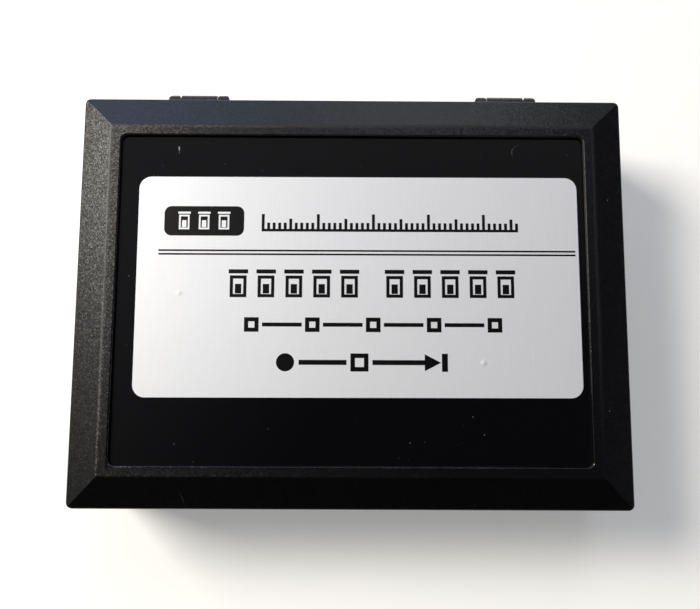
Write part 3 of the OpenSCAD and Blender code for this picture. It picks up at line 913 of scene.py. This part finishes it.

# Cross-linked polyethylene foam, sliced and die cut: a dull charcoal with every cut cell showing as
# a dimple in a paler rim, the dimple's hollow darkened as painted shade. The cells are drawn at
# twice their real 0.45 mm, so that they show.
cellFoam, tree, shader, place = startMaterial(
    "slicedPolyethyleneFoam", "#1d1e20", Roughness=0.92, IOR=1.5
)
cells = {"Vector": place, "Scale": 1 / (foamSettings["cell"] * mm)}
walls = addNode(tree, "ShaderNodeTexVoronoi", cells, feature="DISTANCE_TO_EDGE")
fade = {"Value": walls.outputs["Distance"], "From Max": foamSettings["cellRim"]}
fade |= {"To Min": 1.0, "To Max": 0.0}
rim = addNode(tree, "ShaderNodeMapRange", fade).outputs[0]
relief = {"Height": rim, "Strength": 1.0, "Distance": foamSettings["cellDepth"] * mm}
bump = addNode(tree, "ShaderNodeBump", relief)
tree.links.new(bump.outputs[0], shader.inputs["Normal"])
# the cells' hollows take the dark tone: painted shade in each dimple, paler at the rims
dark, pale = (toLinear(tone) for tone in foamSettings["tones"])
tone = addNode(tree, "ShaderNodeMix", {0: rim, 6: dark, 7: pale}, data_type="RGBA").outputs[2]
tree.links.new(tone, shader.inputs["Base Color"])


def makeFoam(name, body):  # a skin just inside its solid, uneven and with drawn-in walls
    low, high = (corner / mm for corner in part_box(name))
    build = bmesh.new()
    build.from_mesh(nodes[name].data)
    bmesh.ops.remove_doubles(build, verts=build.verts, dist=weld)
    mesh = bpy.data.meshes.new(name)
    build.to_mesh(mesh)
    blank = bpy.data.objects.new("blank", mesh)
    scene.collection.objects.link(blank)
    remesh = blank.modifiers.new("skin", "REMESH")
    remesh.mode = "VOXEL"
    remesh.voxel_size = foamSettings["voxel"][name] * mm
    relax = blank.modifiers.new("relax", "SMOOTH")
    relax.factor, relax.iterations = foamSettings["relax"]
    shaped = blank.evaluated_get(bpy.context.evaluated_depsgraph_get())
    cut = bpy.data.meshes.new_from_object(shaped)
    bpy.data.objects.remove(blank)
    normals = [n.vector.copy() for n in cut.vertex_normals]
    for vert, normal in zip(cut.vertices, normals):
        here = vert.co / mm
        lump = 0.5 + 0.5 * noise.noise(here * foamSettings["lumps"])
        inward = foamSettings["skin"] + foamSettings["uneven"] * lump
        upright = 1 - abs(normal.z)
        depth = min(max((here.z - low.z) / (high.z - low.z), 0), 1)
        inward += foamSettings["waist"] * upright * math.sin(math.pi * depth)
        vert.co -= normal * inward * mm
    cut.polygons.foreach_set("use_smooth", [True] * len(cut.polygons))
    foam = addPiece(name + "_cut", cut, body, cellFoam)
    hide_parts(name)
    return foam


for name, body in foamSettings["bodies"].items():
    foam = makeFoam(name, body)
    print(name, "cut from foam,", len(foam.data.polygons), "faces")


# cuvettes, caps and pins keep their solids and get their finish

cuvetteSettings = {
    "wipes": 220.0,  # a metre, 4.5 mm each
    "wiped": (0.45, 0.8),  # where in the pattern a trace of wiping starts and is full
    "film": 0.05,  # its roughness
}

# fused quartz with all four sides polished: clear, colourless, low index
quartz, tree, shader, place = startMaterial(
    "fusedQuartz", "#fbfdfd", IOR=1.458, Roughness=0.0, Transmission_Weight=1.0
)
smears = {"Vector": place, "Scale": cuvetteSettings["wipes"], "Detail": 3.0}
wipe = addNode(tree, "ShaderNodeTexNoise", smears).outputs[0]
start, full = cuvetteSettings["wiped"]
spread = {"Value": wipe, "From Min": start, "From Max": full, "To Max": cuvetteSettings["film"]}
film = addNode(tree, "ShaderNodeMapRange", spread).outputs[0]
tree.links.new(film, shader.inputs["Roughness"])
for name in ("cuvette_left", "cuvette_right"):
    finishAs(nodes[name], quartz)

capSettings = {
    "rings": 330.0,  # 0.95 mm from one to the next: three times the real 0.3 mm, so that they show
    "waver": 0.6,  # how far they run out of true
    "ringDepth": 0.02,  # mm
    "clouds": 300.0,  # a metre, 3.3 mm each
    "tones": ("#e6e5de", "#f2f1ed"),
}

# turned PTFE: waxy white with fine tool rings, never glossy
ptfe, tree, shader, place = startMaterial("turnedPtfe", "#ecebe6", IOR=1.38, Roughness=0.42)
bands = {"Vector": place, "Scale": capSettings["rings"], "Detail": 1.0}
bands["Distortion"] = capSettings["waver"]
rings = addNode(tree, "ShaderNodeTexWave", bands, bands_direction="Y").outputs[0]
relief = {"Height": rings, "Strength": 0.5, "Distance": capSettings["ringDepth"] * mm}
bump = addNode(tree, "ShaderNodeBump", relief)
tree.links.new(bump.outputs[0], shader.inputs["Normal"])
haze = {"Vector": place, "Scale": capSettings["clouds"], "Detail": 2.0}
cloud = addNode(tree, "ShaderNodeTexNoise", haze).outputs[0]
dark, pale = (toLinear(tone) for tone in capSettings["tones"])
tone = addNode(tree, "ShaderNodeMix", {0: cloud, 6: dark, 7: pale}, data_type="RGBA").outputs[2]
tree.links.new(tone, shader.inputs["Base Color"])
for name in ("cuvette_cap_left", "cuvette_cap_right"):
    finishAs(nodes[name], ptfe)

pinSettings = {
    "drawing": (300.0, 9000.0, 9000.0),  # a metre: marks of 3.3 mm, 0.11 mm wide
    "rough": (0.16, 0.36),
}

# drawn stainless wire: bright with fine marks along its length
steel, tree, shader, place = startMaterial(
    "drawnStainlessWire", "#b7babd", Metallic=1.0, Roughness=0.24
)
stretch = {"Vector": place, "Scale": pinSettings["drawing"]}
along = addNode(tree, "ShaderNodeMapping", stretch).outputs[0]
marks = {"Vector": along, "Scale": 1.0, "Detail": 2.0}
drawn = addNode(tree, "ShaderNodeTexNoise", marks).outputs[0]
low, high = pinSettings["rough"]
spread = {"Value": drawn, "To Min": low, "To Max": high}
dull = addNode(tree, "ShaderNodeMapRange", spread).outputs[0]
tree.links.new(dull, shader.inputs["Roughness"])
for name in ("hinge_pin_left", "hinge_pin_right"):
    finishAs(nodes[name], steel)
print("cuvettes, caps and pins finished")

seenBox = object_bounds()
boxes = {"cad": cadBox, "visual": seenBox}
